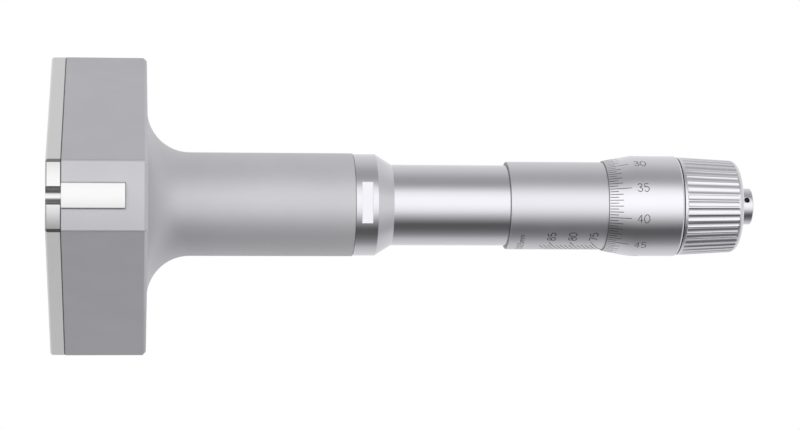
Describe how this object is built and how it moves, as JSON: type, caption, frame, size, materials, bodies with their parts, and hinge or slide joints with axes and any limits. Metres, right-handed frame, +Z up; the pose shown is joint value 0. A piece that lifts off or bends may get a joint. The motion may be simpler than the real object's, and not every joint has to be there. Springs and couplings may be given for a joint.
{
  "type": "inside micrometer",
  "caption": "Three-point self-centring inside micrometer, 75 to 88 mm: turning the thimble feeds a cone that pushes three anvils out to touch a bore.",
  "frame": {"origin": "centre of the flat front face, on the gauge's axis", "axes": "+Z up from the bench that the gauge lies on, +X along the gauge from head to knob, with the axis dipping towards the knob as it does at rest, and the first arm pointing up"},
  "size_m": [0.168, 0.0706, 0.064],
  "materials": {
    "matte_grey_aluminium": "fine blasted and anodised, matte grey",
    "ground_steel": "ground",
    "black_oxide_screws": "black oxide",
    "hardened_steel": "hardened and ground",
    "carbide": "lapped, bright",
    "spring_steel": "drawn wire",
    "bronze": "turned",
    "bright_chrome": "satin to bright chrome plate",
    "satin_chrome": "satin chrome plate",
    "dark_steel": "turned and oiled"
  },
  "bodies": {
    "frame": {"head_body": "matte_grey_aluminium", "front_cover": "ground_steel", "cover_screws": "black_oxide_screws", "guide_bush": "bronze", "barrel": "bright_chrome", "graduated_sleeve": "satin_chrome", "spindle_nut": "bronze", "adjusting_nut": "dark_steel", "return_spring_1": "spring_steel", "return_spring_2": "spring_steel", "return_spring_3": "spring_steel"},
    "plunger": {"feed_cone": "hardened_steel", "push_rod": "hardened_steel", "guide_pin": "hardened_steel"},
    "thimble": {"thimble": "satin_chrome", "spindle": "hardened_steel", "thrust_ball": "hardened_steel", "end_cap": "bright_chrome"},
    "knob": {"friction_knob": "bright_chrome", "clutch_disc": "dark_steel", "clutch_spring": "spring_steel"},
    "anvil_1": {"anvil_1": "hardened_steel", "anvil_tip_1": "carbide"},
    "anvil_2": {"anvil_2": "hardened_steel", "anvil_tip_2": "carbide"},
    "anvil_3": {"anvil_3": "hardened_steel", "anvil_tip_3": "carbide"}
  },
  "joints": [
    {"name": "cone_feed", "type": "slide", "parent": "frame", "child": "plunger", "axis": [-0.995, 0, 0.1001], "range_m": [0, 0.013]},
    {"name": "thimble_turn", "type": "hinge", "parent": "plunger", "child": "thimble", "pos_m": [0.12935, 0, -0.01301], "axis": [-0.995, 0, 0.1001], "range_deg": [0, 9360]},
    {"name": "knob_slip", "type": "hinge", "parent": "thimble", "child": "knob", "pos_m": [0.14721, 0, -0.01481], "axis": [-0.995, 0, 0.1001], "continuous": true},
    {"name": "anvil_slide_1", "type": "slide", "parent": "frame", "child": "anvil_1", "axis": [0.1001, 0, 0.995], "range_m": [0, 0.0065], "deforming": ["return_spring_1"]},
    {"name": "anvil_slide_2", "type": "slide", "parent": "frame", "child": "anvil_2", "axis": [-0.0501, -0.866, -0.4975], "range_m": [0, 0.0065], "deforming": ["return_spring_2"]},
    {"name": "anvil_slide_3", "type": "slide", "parent": "frame", "child": "anvil_3", "axis": [-0.0501, 0.866, -0.4975], "range_m": [0, 0.0065], "deforming": ["return_spring_3"]}
  ],
  "couplings": [
    {"joint": "thimble_turn", "follows": "cone_feed", "rad_per_m": 12566},
    {"joint": "anvil_slide_1", "follows": "cone_feed", "ratio": 0.5},
    {"joint": "anvil_slide_2", "follows": "cone_feed", "ratio": 0.5},
    {"joint": "anvil_slide_3", "follows": "cone_feed", "ratio": 0.5}
  ]
}
